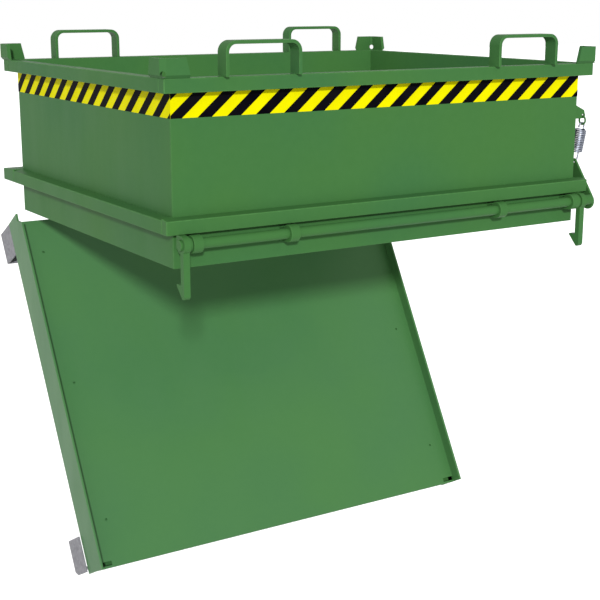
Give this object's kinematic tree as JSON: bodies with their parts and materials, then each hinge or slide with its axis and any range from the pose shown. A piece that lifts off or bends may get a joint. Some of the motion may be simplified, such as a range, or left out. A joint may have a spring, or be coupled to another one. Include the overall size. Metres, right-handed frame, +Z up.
{
  "type": "drop bottom container",
  "caption": "Open sheet-steel stacking box with fork loops and crane eyes, whose floor is a hinged flap held shut by a sprung two-hook latch shaft.",
  "frame": {"origin": "centre of the four fork loops, level with the underside of their top bars", "axes": "+X to the right along the latch side, +Y to the hinge side, +Z up"},
  "size_m": [1.2845, 1.185, 1.4853],
  "materials": {
    "green_paint": "semi-gloss sprayed paint",
    "galvanised_steel": "hot-dip galvanised",
    "spring_steel": "zinc plated",
    "yellow_tape": "satin film",
    "black_tape": "satin film"
  },
  "bodies": {
    "box": {"wall_front": "green_paint", "wall_rear": "green_paint", "wall_left": "green_paint", "wall_right": "green_paint", "rim_front": "green_paint", "rim_rear": "green_paint", "rim_sides": "green_paint", "base_rail_front": "green_paint", "base_rail_rear": "green_paint", "base_rail_sides": "green_paint", "tape_yellow": "yellow_tape", "tape_black": "black_tape", "fork_loop_front_left": "green_paint", "fork_loop_front_right": "green_paint", "fork_loop_rear_left": "green_paint", "fork_loop_rear_right": "green_paint", "corner_front_left": "green_paint", "corner_front_right": "green_paint", "corner_rear_left": "green_paint", "corner_rear_right": "green_paint", "shaft_rings": "green_paint", "spring_anchor": "green_paint", "spring_link": "green_paint", "spring": "spring_steel", "hinge_ears": "green_paint", "hinge_pins": "spring_steel", "flap_stops": "green_paint"},
    "flap": {"floor_plate": "green_paint", "floor_side_left": "green_paint", "floor_side_right": "green_paint", "floor_front_member": "green_paint", "floor_rear_member": "green_paint", "floor_bearers": "green_paint", "floor_cross_member": "green_paint", "hinge_arms": "green_paint", "front_feet": "galvanised_steel", "rear_feet": "galvanised_steel", "foot_bolts": "galvanised_steel"},
    "latch": {"latch_shaft": "green_paint", "latch_hooks": "green_paint", "shaft_collars": "green_paint", "release_lever": "green_paint"}
  },
  "joints": [
    {"name": "flap_hinge", "type": "hinge", "parent": "box", "child": "flap", "pos_m": [0, 0.5375, -0.525], "axis": [1, 0, 0], "range_deg": [-60.5, 0]},
    {"name": "latch_turn", "type": "hinge", "parent": "box", "child": "latch", "pos_m": [0, -0.5135, -0.432], "axis": [1, 0, 0], "range_deg": [-25, 0], "stiffness_Nm_per_rad": 40, "springref_deg": 14.32, "deforming": ["spring"]}
  ]
}
